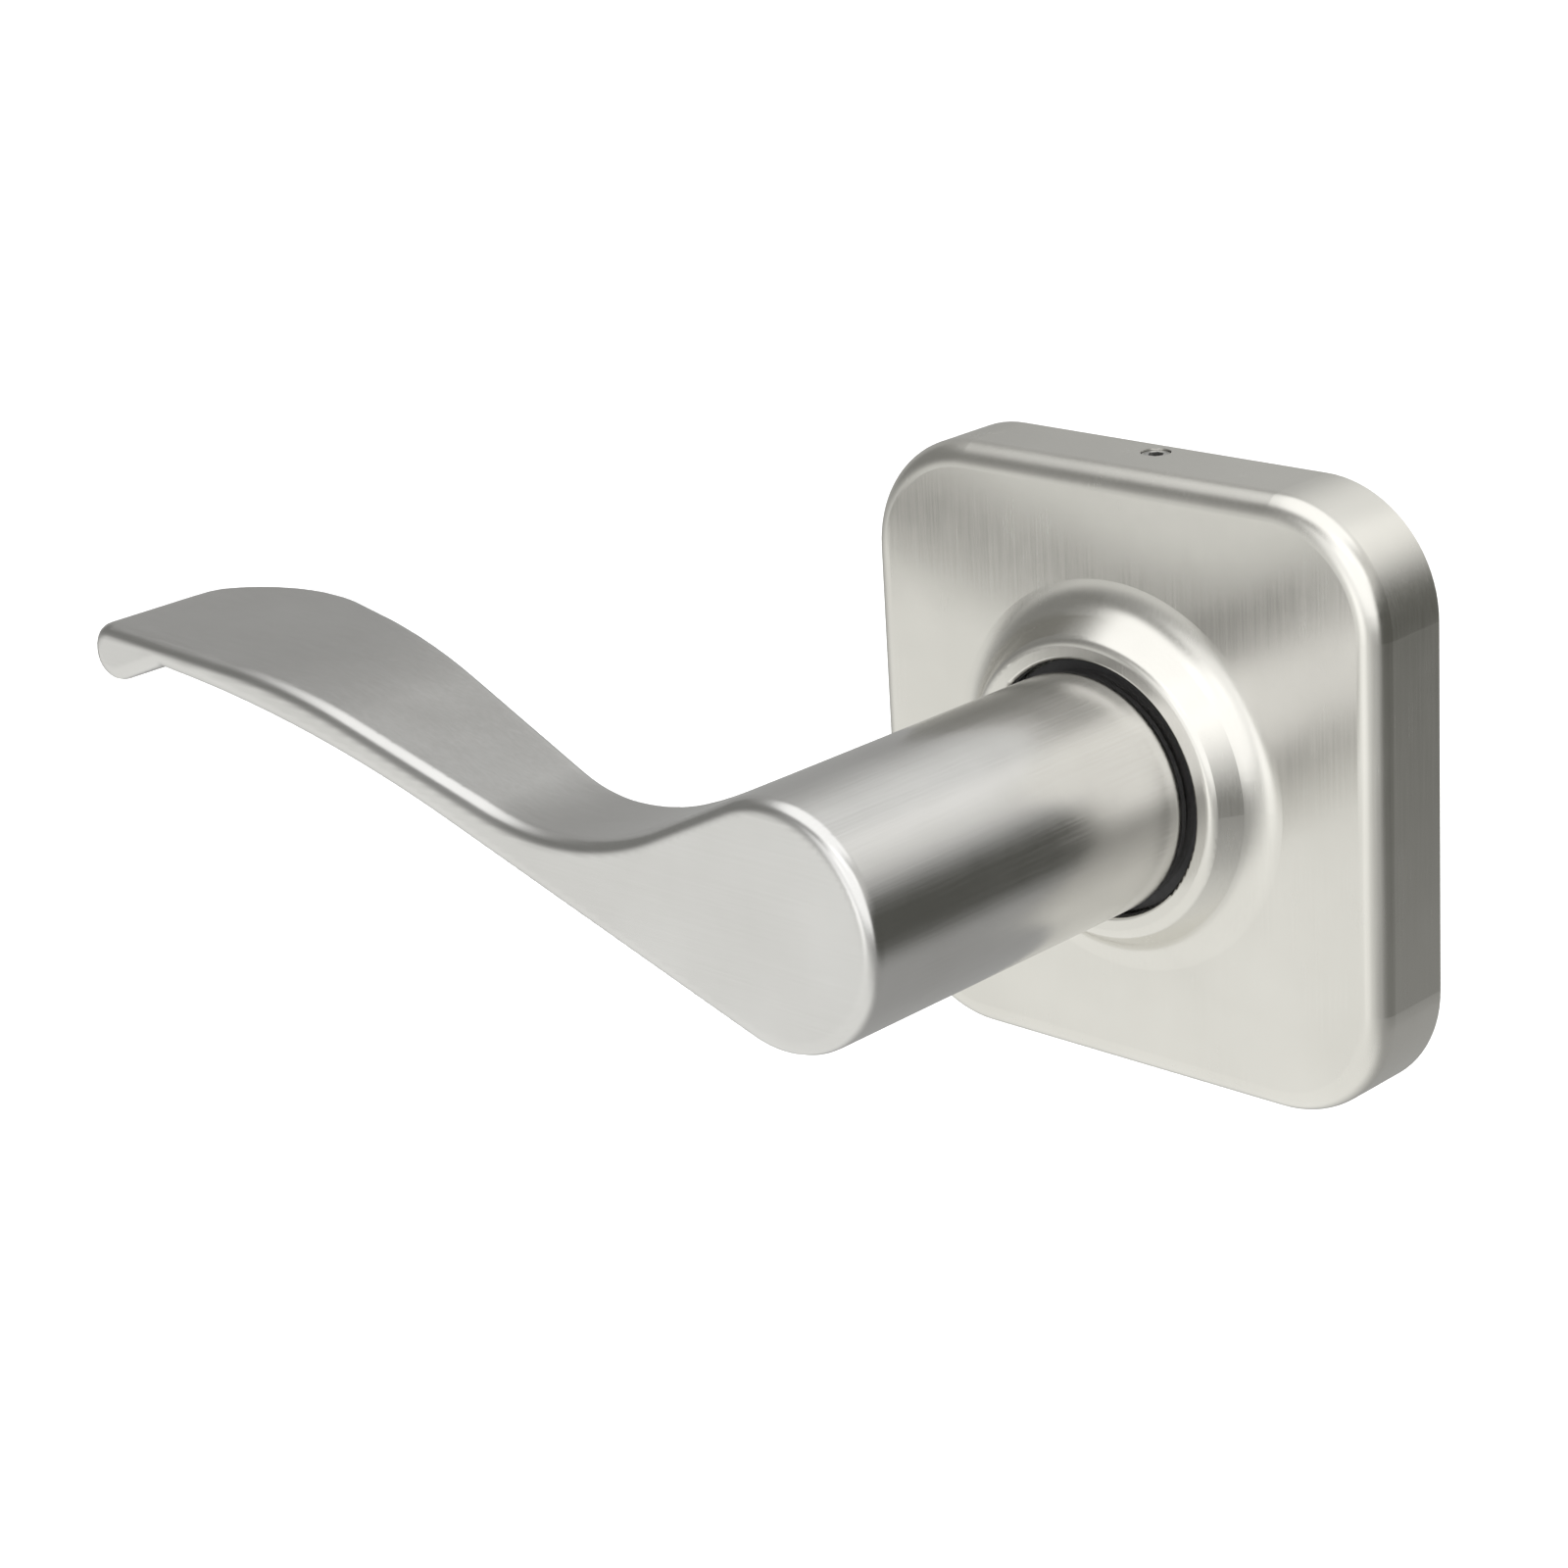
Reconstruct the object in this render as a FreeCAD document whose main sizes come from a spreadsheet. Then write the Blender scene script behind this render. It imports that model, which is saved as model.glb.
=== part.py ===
import FreeCAD, Part
import os
from math import acos, atan2, cos, hypot, sin, tan

import Sketcher
from FreeCAD import Placement, Rotation, Vector

# Sprung passage door lever on a square rose, outside half, in millimetres.
# The frame's origin is the centre of the rose's back face, on the door: +Z is up, -Y points out of
# the door and the lever points to -X. A sub-part is drawn with x to the right, y up and z out of the
# door, and its Placement turns that drawing onto the door. "depth" is the distance out of the door.

DIMENSIONS = {
    # rose: a square cover with a raised collar round the neck
    "rose_width": 66,
    "rose_depth": 10.45,
    "rose_corner": 13.3,
    "rose_edge": 2.54,
    "rose_wall": 1.2,
    "collar_hole": 13.8,
    "collar_lip": 16,
    "collar_foot": 19,
    "collar_depth": 15.28,
    "collar_blend": 4,
    "collar_round": 1.3,
    "collar_edge": 0.45,
    # grub screw that locks the rose cover from above
    "rose_screw_radius": 1.5,
    "rose_screw_hole": 1.6,
    "rose_screw_depth": 2.5,
    "rose_screw_low": 27.8,
    "rose_screw_length": 5,
    "rose_screw_socket": 0.87,
    "rose_screw_socket_depth": 1.8,
    # mounting plate behind the cover
    "plate_gap": 1,
    "plate_thick": 2,
    "lug_width": 8,
    "lug_low": 24,
    "lug_depth": 5.5,
    # fixing posts, on a 38.1 mm line that clears a 54 mm door bore
    "post_offset": 19.05,
    "post_radius": 3.75,
    "post_spigot": 3,
    "post_flange": 5,
    "post_flange_thick": 2,
    "post_reach": 10,
    "post_bore": 2.1,
    "post_bore_depth": 8,
    # spring housing on the plate
    "housing_radius": 15,
    "housing_bore": 14,
    "housing_depth": 9,
    "housing_wall": 1,
    "housing_collar": 12,
    "housing_collar_depth": 12.5,
    "foot_width": 20,
    "foot_height": 42,
    "foot_thick": 2,
    "stop_width": 4.2,
    "stop_radius": 11.9,
    "stop_depth": 3.45,
    # four countersunk screws through the plate into the housing's feet
    "foot_screw_x": 6.5,
    "foot_screw_y": 17.7,
    "foot_screw_radius": 1.5,
    "foot_screw_head": 2.9,
    "foot_screw_head_depth": 1.4,
    "foot_screw_socket": 1.15,
    "foot_screw_socket_depth": 1,
    # acetal bushes that the drive hub turns in
    "bush_bore": 9.05,
    "front_bush_radius": 10.2,
    "front_bush_low": 8.2,
    "front_bush_flange": 13.6,
    "front_bush_flange_thick": 1,
    "rear_bush_radius": 10.5,
    # drive hub: a hollow shaft from inside the lever to behind the plate
    "hub_radius": 9,
    "hub_low": -7,
    "hub_high": 36,
    "hub_square": 8.2,
    "key_width": 3,
    "key_height": 1,
    "key_sink": 0.2,
    "groove_radius": 8,
    "groove_low": -1.65,
    "groove_high": -0.6,
    # drive cam on the hub: its rim notch meets the housing's stop
    "cam_radius": 13.6,
    "cam_low": 2.2,
    "cam_thick": 1.2,
    "notch_radius": 11.7,
    "notch_outer": 16,
    "notch_peak": 20,
    "lever_travel": 50,
    "stop_half_angle": 10.5,
    # return spring between cam and housing
    "coil_radius": 12,
    "coil_wire": 0.65,
    "coil_low": 4.25,
    "coil_high": 7.25,
    "coil_turns": 2.25,
    "tang_hole": 0.8,
    "tang_gap": 0.1,
    "tang_angle": 90,
    # washers and retaining ring
    "washer_low": 13.55,
    "washer_thick": 0.4,
    "washer_bore": 9.3,
    "washer_radius": 11.4,
    "rear_washer_low": -0.55,
    "rear_washer_thick": 0.5,
    "rear_washer_radius": 12.5,
    "ring_low": -1.6,
    "ring_thick": 0.95,
    "ring_radius": 11,
    "ring_gap": 5,
    # square spindle and its cross pin
    "spindle_side": 8,
    "spindle_low": -28,
    "spindle_high": 30,
    "pin_radius": 1.25,
    "pin_depth": -4.5,
    # lever: round neck, then a flat blade to the side, cast in one piece
    "neck_radius": 13,
    "neck_low": 14,
    "neck_shoulder": 17,
    "neck_shoulder_round": 4,
    "lever_front": 63,
    "lever_bore_depth": 38,
    "lever_rim": 1.6,
    "lever_screw_radius": 2.5,
    "lever_screw_depth": 26,
    "lever_screw_low": 12.6,
    "lever_screw_tip": 1.5,
    "lever_screw_tip_low": 8.2,
    "lever_screw_socket": 1.45,
    "lever_screw_socket_depth": 2.2,
    # blade seen from the front: corner points of its top and bottom edges, each with its rounding
    "valley_x": -27.8,
    "valley_y": 0.9,
    "valley_round": 36,
    "crest_x": -69.9,
    "crest_y": 12,
    "crest_round": 90,
    "tip_x": -100.2,
    "tip_y": 10.2,
    "tip_radius": 3.3,
    "lip_x": -92.1,
    "lip_y": 9.9,
    "lip_round": 2,
    "belly_x": -66.2,
    "belly_y": 7.6,
    "belly_round": 190,
    # blade seen from above: the edge that faces the door, again as rounded corner points
    "web_x": -14.5,
    "web_start_x": -4.8,
    "web_start_depth": 22,
    "web_pad_depth": 24,
    "web_round": 13,
    "back_x": -33,
    "back_depth": 49.3,
    "back_round": 60,
    "end_x": -103.9,
    "end_depth": 34.9,
    "end_round": 16,
    "blade_back_edge": 1.4,
    # how far holes and cutting shapes reach past what they cut
    "hole_over": 0.5,
    "cutter_over": 25,
}

doc = FreeCAD.newDocument("door_lever")
sheet = doc.addObject("Spreadsheet::Sheet", "dims")
for row, (alias, value) in enumerate(DIMENSIONS.items(), start=1):
    sheet.set(f"A{row}", alias)
    sheet.set(f"B{row}", str(value))
    sheet.setAlias(f"B{row}", alias)
doc.recompute()

ON_DOOR = Placement(Vector(0, 0, 0), Rotation(Vector(1, 0, 0), 90))
ALONG_X = Rotation(Vector(0, 1, 0), 90)
ALONG_Y = Rotation(Vector(1, 0, 0), -90)
ALONG_Z = Rotation()
subparts = []


# ---------------------------------------------------------------- helpers


def full(text):
    """Return an expression with the sheet's name put before each alias in it."""
    words = []
    for word in text.split():
        words.append("dims." + word if word in DIMENSIONS else word)
    return " ".join(words)


def size(text):
    """Return the number that an expression of the sheet's aliases stands for."""
    return float(sheet.evalExpression(full(text)))


def bind(feature, prop, text):
    """Bind one property of a feature to an expression of the sheet's aliases."""
    feature.setExpression(prop, full(text))


def new_body(name):
    body = doc.addObject("PartDesign::Body", name)
    body.Label = name
    body.Placement = ON_DOOR
    subparts.append(body)
    return body


def new_sketch(body, role, depth="0"):
    sketch = body.newObject("Sketcher::SketchObject", body.Name + "_sketch")
    plane = [item for item in body.Origin.OriginFeatures if item.Role == role][0]
    sketch.AttachmentSupport = [(plane, "")]
    sketch.MapMode = "FlatFace"
    bind(sketch, "AttachmentOffset.Base.z", depth)
    doc.recompute()
    return sketch


def fix_point(sketch, geometry, place, x, y):
    """Hold one point of a sketch at x and y, both expressions."""
    for kind, text in (("DistanceX", x), ("DistanceY", y)):
        index = sketch.addConstraint(Sketcher.Constraint(kind, -1, 1, geometry, place, size(text)))
        bind(sketch, f"Constraints[{index}]", text)


def draw_polygon(sketch, corners):
    """Draw a closed polygon. Each corner is a pair of expressions, and holds to them."""
    points = [Vector(size(x), size(y), 0) for x, y in corners]
    count = len(points)
    lines = []
    for index in range(count):
        edge = Part.LineSegment(points[index], points[(index + 1) % count])
        lines.append(sketch.addGeometry(edge))
    for index in range(count):
        following = lines[(index + 1) % count]
        sketch.addConstraint(Sketcher.Constraint("Coincident", lines[index], 2, following, 1))
        fix_point(sketch, lines[index], 1, *corners[index])


def draw_box(sketch, width, height):
    half_width = f"( {width} ) / 2"
    half_height = f"( {height} ) / 2"
    left, low = "0 - " + half_width, "0 - " + half_height
    draw_polygon(
        sketch,
        [(left, low), (half_width, low), (half_width, half_height), (left, half_height)],
    )


def draw_rounded_box(sketch, width, corner):
    """Draw a square about the origin with round corners; width and corner are expressions."""
    half = f"( {width} ) / 2"
    reach, inner = size(half), size(half) - size(corner)
    turn = Rotation(Vector(0, 0, 1), 90)
    first, last = Vector(-inner, -reach, 0), Vector(inner, -reach, 0)
    centre, next_first = Vector(inner, -inner, 0), Vector(reach, -inner, 0)
    middle = centre + Vector(1, -1, 0).normalize() * size(corner)
    lines, arcs = [], []
    for _ in range(4):
        lines.append(sketch.addGeometry(Part.LineSegment(first, last)))
        arcs.append(sketch.addGeometry(Part.Arc(last, middle, next_first)))
        first, last, middle, next_first = [
            turn.multVec(spot) for spot in (first, last, middle, next_first)
        ]
    sides = (("Horizontal", "DistanceY", "0 - "), ("Vertical", "DistanceX", ""),
             ("Horizontal", "DistanceY", ""), ("Vertical", "DistanceX", "0 - "))
    for index, (level, kind, sign) in enumerate(sides):
        line, arc, next_line = lines[index], arcs[index], lines[(index + 1) % 4]
        sketch.addConstraint(Sketcher.Constraint(level, line))
        sketch.addConstraint(Sketcher.Constraint("Tangent", line, 2, arc, 1))
        sketch.addConstraint(Sketcher.Constraint("Tangent", arc, 2, next_line, 1))
        place = Sketcher.Constraint(kind, -1, 1, line, 1, size(sign + half))
        bind(sketch, f"Constraints[{sketch.addConstraint(place)}]", sign + half)
        rounding = Sketcher.Constraint("Radius", arc, size(corner))
        bind(sketch, f"Constraints[{sketch.addConstraint(rounding)}]", corner)


def volume_after(body, feature, grows):
    """Recompute, and stop if the feature added or removed nothing."""
    before = body.Shape.Volume if not body.Shape.isNull() else 0
    body.Tip = feature
    doc.recompute()
    change = body.Shape.Volume - before
    if (change > 0) != grows or abs(change) < 1e-6:
        raise RuntimeError(f"{feature.Name} of {body.Name} changes the volume by {change}")
    return feature


def pad(body, sketch, length):
    feature = body.newObject("PartDesign::Pad", body.Name + "_pad")
    feature.Profile = sketch
    bind(feature, "Length", length)
    return volume_after(body, feature, True)


def pocket(body, sketch, depth):
    """Cut a sketch into the body along the sketch's normal."""
    feature = body.newObject("PartDesign::Pocket", body.Name + "_pocket")
    feature.Profile = sketch
    feature.Reversed = True
    bind(feature, "Length", depth)
    return volume_after(body, feature, False)


def turned(body, corners):
    """Revolve a polygon of (radius, depth) corners about the z axis."""
    sketch = new_sketch(body, "XZ_Plane")
    draw_polygon(sketch, corners)
    feature = body.newObject("PartDesign::Revolution", body.Name + "_turned")
    feature.Profile = sketch
    feature.ReferenceAxis = (sketch, ["V_Axis"])
    feature.Angle = 360
    return volume_after(body, feature, True)


def primitive(body, kind, sizes, place, rotation=ALONG_Z):
    """Add or cut a PartDesign primitive, such as AdditiveBox, at a place of three expressions."""
    feature = body.newObject("PartDesign::" + kind, f"{body.Name}_{kind}")
    feature.Placement = Placement(Vector(0, 0, 0), rotation)
    for prop, text in sizes.items():
        bind(feature, prop, text)
    for letter, text in zip("xyz", place):
        bind(feature, "Placement.Base." + letter, text)
    return volume_after(body, feature, kind.startswith("Additive"))


def hole(body, radius, height, place, rotation=ALONG_Z):
    return primitive(body, "SubtractiveCylinder", {"Radius": radius, "Height": height}, place, rotation)


def hex_socket(body, radius, depth, place, rotation=ALONG_Z):
    sizes = {"Circumradius": radius, "Height": depth}
    return primitive(body, "SubtractivePrism", sizes, place, rotation)


def edge_names(shape, wanted):
    return [f"Edge{index}" for index, edge in enumerate(shape.Edges, start=1) if wanted(edge)]


def round_edges(body, radius, wanted):
    base = body.Tip
    feature = body.newObject("PartDesign::Fillet", body.Name + "_fillet")
    feature.Base = (base, edge_names(base.Shape, wanted))
    bind(feature, "Radius", radius)
    body.Tip = feature
    doc.recompute()
    if "Invalid" in feature.State or not feature.Base[1]:
        raise RuntimeError(f"{feature.Name} of {body.Name} rounds nothing: {feature.Base}")
    return feature


def is_circle(edge, radius, depth):
    """True for a circle about the z axis with this radius at this depth."""
    if not isinstance(edge.Curve, Part.Circle):
        return False
    centre = edge.Curve.Center
    near_axis = hypot(centre.x, centre.y) < 1e-6
    return near_axis and abs(edge.Curve.Radius - radius) < 1e-6 and abs(centre.z - depth) < 1e-6


def lies_at(edge, depth):
    """True for an edge that lies in the plane at this depth."""
    box = edge.BoundBox
    return abs(box.ZMin - depth) < 1e-4 and abs(box.ZMax - depth) < 1e-4


# ---------------------------------------------------------------- rose


def make_rose_cover():
    body = new_body("rose_cover")
    sketch = new_sketch(body, "XY_Plane")
    draw_rounded_box(sketch, "rose_width", "rose_corner")
    pad(body, sketch, "rose_depth")
    face = size("rose_depth")
    round_edges(body, "rose_edge", lambda edge: lies_at(edge, face))
    turned(
        body,
        [
            ("0", "rose_depth - rose_wall"),
            ("collar_foot", "rose_depth - rose_wall"),
            ("collar_foot", "rose_depth"),
            ("collar_lip", "collar_depth"),
            ("0", "collar_depth"),
        ],
    )
    foot = size("collar_foot")
    round_edges(body, "collar_blend", lambda edge: is_circle(edge, foot, face))
    cavity = new_sketch(body, "XY_Plane")
    draw_rounded_box(cavity, "rose_width - rose_wall * 2", "rose_corner - rose_wall")
    pocket(body, cavity, "rose_depth - rose_wall")
    hole(body, "collar_hole", "collar_depth", ("0", "0", "0"))
    top = size("collar_depth")
    lip, bore = size("collar_lip"), size("collar_hole")
    round_edges(body, "collar_round", lambda edge: is_circle(edge, lip, top))
    round_edges(body, "collar_edge", lambda edge: is_circle(edge, bore, top))
    hole(body, "rose_screw_hole", "rose_width", ("0", "0", "rose_screw_depth"), ALONG_Y)


def make_rose_set_screw():
    body = new_body("rose_set_screw")
    low = ("0", "rose_screw_low", "rose_screw_depth")
    sizes = {"Radius": "rose_screw_radius", "Height": "rose_screw_length"}
    primitive(body, "AdditiveCylinder", sizes, low, ALONG_Y)
    mouth = "rose_screw_low + rose_screw_length - rose_screw_socket_depth"
    place = ("0", mouth, "rose_screw_depth")
    hex_socket(body, "rose_screw_socket", "rose_screw_socket_depth", place, ALONG_Y)


def make_mounting_plate():
    body = new_body("mounting_plate")
    width = "rose_width - rose_wall * 2 - plate_gap * 2"
    sketch = new_sketch(body, "XY_Plane")
    draw_rounded_box(sketch, width, "rose_corner - rose_wall - plate_gap")
    pad(body, sketch, "plate_thick")
    lug_height = "rose_width / 2 - rose_wall - plate_gap - lug_low"
    primitive(
        body,
        "AdditiveBox",
        {"Length": "lug_width", "Width": lug_height, "Height": "lug_depth"},
        ("0 - lug_width / 2", "lug_low", "0"),
    )
    hole(
        body,
        "rose_screw_radius",
        lug_height + " + hole_over * 2",
        ("0", "lug_low - hole_over", "rose_screw_depth"),
        ALONG_Y,
    )
    hole(body, "rear_bush_radius", "plate_thick", ("0", "0", "0"))
    for side in ("", "0 - "):
        hole(body, "post_spigot", "plate_thick", (side + "post_offset", "0", "0"))
    for x, y in foot_screw_places():
        hole(body, "foot_screw_radius", "plate_thick", (x, y, "0"))
        primitive(
            body,
            "SubtractiveCone",
            {
                "Radius1": "foot_screw_head",
                "Radius2": "foot_screw_radius",
                "Height": "foot_screw_head_depth",
            },
            (x, y, "0"),
        )


def foot_screw_places():
    """The four screws, anticlockwise from the upper right as seen from outside."""
    places = []
    for x_sign, y_sign in (("", ""), ("0 - ", ""), ("0 - ", "0 - "), ("", "0 - ")):
        places.append((x_sign + "foot_screw_x", y_sign + "foot_screw_y"))
    return places


def make_fixing_post(name, side):
    body = new_body(name)
    turned(
        body,
        [
            ("0", "plate_thick"),
            ("post_spigot", "plate_thick"),
            ("post_spigot", "0"),
            ("post_flange", "0"),
            ("post_flange", "0 - post_flange_thick"),
            ("post_radius", "0 - post_flange_thick"),
            ("post_radius", "0 - post_reach"),
            ("post_bore", "0 - post_reach"),
            ("post_bore", "post_bore_depth - post_reach"),
            ("0", "post_bore_depth - post_reach"),
        ],
    )
    body.setExpression("Placement.Base.x", f"{side} * dims.post_offset")


# ---------------------------------------------------------------- spring housing


def make_spring_housing():
    body = new_body("spring_housing")
    primitive(
        body,
        "AdditiveBox",
        {"Length": "foot_width", "Width": "foot_height", "Height": "foot_thick"},
        ("0 - foot_width / 2", "0 - foot_height / 2", "plate_thick"),
    )
    hole(body, "housing_bore", "foot_thick", ("0", "0", "plate_thick"))
    turned(
        body,
        [
            ("housing_bore", "plate_thick"),
            ("housing_radius", "plate_thick"),
            ("housing_radius", "housing_depth"),
            ("housing_collar", "housing_depth"),
            ("housing_collar", "housing_collar_depth"),
            ("front_bush_radius", "housing_collar_depth"),
            ("front_bush_radius", "housing_depth - housing_wall"),
            ("housing_bore", "housing_depth - housing_wall"),
        ],
    )
    primitive(
        body,
        "AdditiveBox",
        {
            "Length": "stop_width",
            "Width": "housing_bore + housing_wall / 2 - stop_radius",
            "Height": "stop_depth - plate_thick",
        },
        ("0 - stop_width / 2", "0 - housing_bore - housing_wall / 2", "plate_thick"),
    )
    for x, y in foot_screw_places():
        hole(body, "foot_screw_radius", "foot_thick", (x, y, "plate_thick"))
    angle = "( tang_angle + 360 * coil_turns )"
    place = (f"coil_radius * cos( {angle} )", f"coil_radius * sin( {angle} )")
    hole(body, "tang_hole", "housing_wall", place + ("housing_depth - housing_wall",))


def make_foot_screw(number, x, y):
    body = new_body(f"housing_screw_{number}")
    turned(
        body,
        [
            ("0", "0"),
            ("foot_screw_head", "0"),
            ("foot_screw_radius", "foot_screw_head_depth"),
            ("foot_screw_radius", "plate_thick + foot_thick"),
            ("0", "plate_thick + foot_thick"),
        ],
    )
    hex_socket(body, "foot_screw_socket", "foot_screw_socket_depth", ("0", "0", "0"))
    body.setExpression("Placement.Base.x", full(x))
    body.setExpression("Placement.Base.z", full(y))


def make_front_bush():
    body = new_body("front_bush")
    top = "housing_collar_depth + front_bush_flange_thick"
    turned(
        body,
        [
            ("bush_bore", "front_bush_low"),
            ("front_bush_radius", "front_bush_low"),
            ("front_bush_radius", "housing_collar_depth"),
            ("front_bush_flange", "housing_collar_depth"),
            ("front_bush_flange", top),
            ("bush_bore", top),
        ],
    )


def make_ring(name, inner, outer, low, high):
    """A plain ring about the z axis."""
    body = new_body(name)
    turned(body, [(inner, low), (outer, low), (outer, high), (inner, high)])
    return body


def make_return_spring():
    """Torsion spring: a coil with a straight leg at each end, one into the cam and one forward."""
    radius, wire = size("coil_radius"), size("coil_wire")
    low, high = size("coil_low"), size("coil_high")
    turns, start_angle = size("coil_turns"), size("tang_angle")
    coil = Part.makeHelix((high - low) / turns, high - low, radius)
    profile = Part.Wire(Part.Circle(Vector(radius, 0, low), Vector(0, 1, 0), wire).toShape())
    coil.translate(Vector(0, 0, low))
    solid = Part.Wire(coil).makePipeShell([profile], True, True)
    end = Rotation(Vector(0, 0, 1), turns * 360).multVec(Vector(radius, 0, high))
    start = Vector(radius, 0, low)
    cam_face = size("cam_low")
    wall_face = size("housing_depth - tang_gap")
    legs = [
        Part.makeSphere(wire, start),
        Part.makeSphere(wire, end),
        Part.makeCylinder(wire, low - cam_face, start, Vector(0, 0, -1)),
        Part.makeCylinder(wire, wall_face - high, end, Vector(0, 0, 1)),
    ]
    spring = doc.addObject("Part::Feature", "return_spring")
    spring.Label = "return_spring"
    spring.Shape = solid.multiFuse(legs)
    turned_to_start = Placement(Vector(0, 0, 0), Rotation(Vector(0, 0, 1), start_angle))
    spring.Placement = ON_DOOR.multiply(turned_to_start)
    subparts.append(spring)


# ---------------------------------------------------------------- drive


def make_drive_hub():
    body = new_body("drive_hub")
    turned(
        body,
        [
            ("0", "hub_low"),
            ("hub_radius", "hub_low"),
            ("hub_radius", "groove_low"),
            ("groove_radius", "groove_low"),
            ("groove_radius", "groove_high"),
            ("hub_radius", "groove_high"),
            ("hub_radius", "hub_high"),
            ("0", "hub_high"),
        ],
    )
    square = new_sketch(body, "XY_Plane", "hub_low")
    draw_box(square, "hub_square", "hub_square")
    pocket(body, square, "hub_high - hub_low")
    key_high = "cam_low + cam_thick"
    for y in ("hub_radius - key_height", "0 - hub_radius"):
        primitive(
            body,
            "SubtractiveBox",
            {
                "Length": "key_width",
                "Width": "key_height",
                "Height": f"{key_high} - hub_low",
            },
            ("0 - key_width / 2", y, "hub_low"),
        )
    hole(
        body,
        "lever_screw_tip",
        "hub_radius - lever_screw_tip_low",
        ("0", "0 - hub_radius", "lever_screw_depth"),
        ALONG_Y,
    )
    hole(body, "pin_radius", "hub_radius * 2", ("0 - hub_radius", "0", "pin_depth"), ALONG_X)


def make_drive_cam():
    body = make_ring("drive_cam", "bush_bore", "cam_radius", "cam_low", "cam_low + cam_thick")
    key = {
        "Length": "key_width",
        "Width": "key_height + bush_bore - hub_radius + key_sink",
        "Height": "cam_thick",
    }
    for y in ("hub_radius - key_height", "0 - bush_bore - key_sink"):
        primitive(body, "AdditiveBox", key, ("0 - key_width / 2", y, "cam_low"))
    notch = new_sketch(body, "XY_Plane", "cam_low")
    first = "( 270 - stop_half_angle - lever_travel )"
    middle = "( 270 - lever_travel / 2 )"
    last = "( 270 + stop_half_angle )"
    corners = []
    for radius, angle in (
        ("notch_radius", first),
        ("notch_outer", first),
        ("notch_peak", middle),
        ("notch_outer", last),
        ("notch_radius", last),
        ("notch_radius", "( 270 + stop_half_angle / 2 - lever_travel / 4 )"),
        ("notch_radius", middle),
        ("notch_radius", "( 270 - stop_half_angle / 2 - lever_travel * 3 / 4 )"),
    ):
        corners.append((f"{radius} * cos( {angle} )", f"{radius} * sin( {angle} )"))
    draw_polygon(notch, corners)
    pocket(body, notch, "cam_thick")
    place = ("coil_radius * cos( tang_angle )", "coil_radius * sin( tang_angle )", "cam_low")
    hole(body, "tang_hole", "cam_thick", place)


def make_retaining_ring():
    high = "ring_low + ring_thick"
    body = make_ring("retaining_ring", "groove_radius", "ring_radius", "ring_low", high)
    sizes = {"Length": "ring_gap", "Width": "ring_radius", "Height": "ring_thick"}
    primitive(body, "SubtractiveBox", sizes, ("0 - ring_gap / 2", "0", "ring_low"))


def make_spindle():
    body = new_body("spindle")
    sketch = new_sketch(body, "XY_Plane", "spindle_low")
    draw_box(sketch, "spindle_side", "spindle_side")
    pad(body, sketch, "spindle_high - spindle_low")
    hole(body, "pin_radius", "spindle_side", ("0 - spindle_side / 2", "0", "pin_depth"), ALONG_X)


def make_spindle_pin():
    body = new_body("spindle_pin")
    sizes = {"Radius": "pin_radius", "Height": "hub_radius * 2"}
    primitive(body, "AdditiveCylinder", sizes, ("0 - hub_radius", "0", "pin_depth"), ALONG_X)


# ---------------------------------------------------------------- lever


def point(x, y):
    return Vector(size(x), size(y), 0)


def tangent_point(centre, radius, outside, side):
    """Where the tangent from an outside point meets a circle; side is 1 or -1."""
    away = outside - centre
    angle = atan2(away.y, away.x) + side * acos(radius / away.Length)
    return centre + Vector(radius * cos(angle), radius * sin(angle), 0)


def rounded_chain(start, corners, end):
    """Lines from start to end through corners, each a (point, radius), with the corners rounded."""
    pieces = []
    here = start
    following = [place for place, _ in corners[1:]] + [end]
    for (corner, radius), after in zip(corners, following):
        back = (here - corner).normalize()
        ahead = (after - corner).normalize()
        half = back.getAngle(ahead) / 2
        leg = radius / tan(half)
        first, last = corner + back * leg, corner + ahead * leg
        middle = corner + (back + ahead).normalize() * (radius / sin(half) - radius)
        pieces.append(Part.LineSegment(here, first))
        pieces.append(Part.Arc(first, middle, last))
        here = last
    pieces.append(Part.LineSegment(here, end))
    return pieces


def arc_about(centre, first, last, through):
    """Arc about a centre from first to last, on the side that the through direction points to."""
    radius = (first - centre).Length
    return Part.Arc(first, centre + through.normalize() * radius, last)


def draw_pieces(sketch, pieces):
    """Draw a closed chain of lines and arcs, each joined to the next where their ends meet."""
    indices = [sketch.addGeometry(piece) for piece in pieces]
    for index, following in zip(indices, indices[1:] + indices[:1]):
        for end in (2, 1):
            for start in (1, 2):
                gap = sketch.getPoint(index, end) - sketch.getPoint(following, start)
                if gap.Length < 1e-6:
                    rule = Sketcher.Constraint("Coincident", index, end, following, start)
                    sketch.addConstraint(rule)


def is_blade_back_edge(edge):
    """True for an edge where the blade's door side meets its top or bottom."""
    box = edge.BoundBox
    behind_rim = box.ZMax < size("lever_front - lever_rim")
    before_web = box.ZMin > size("web_pad_depth + hole_over")
    return box.XLength > size("hole_over") / 10 and behind_rim and before_web


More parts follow.
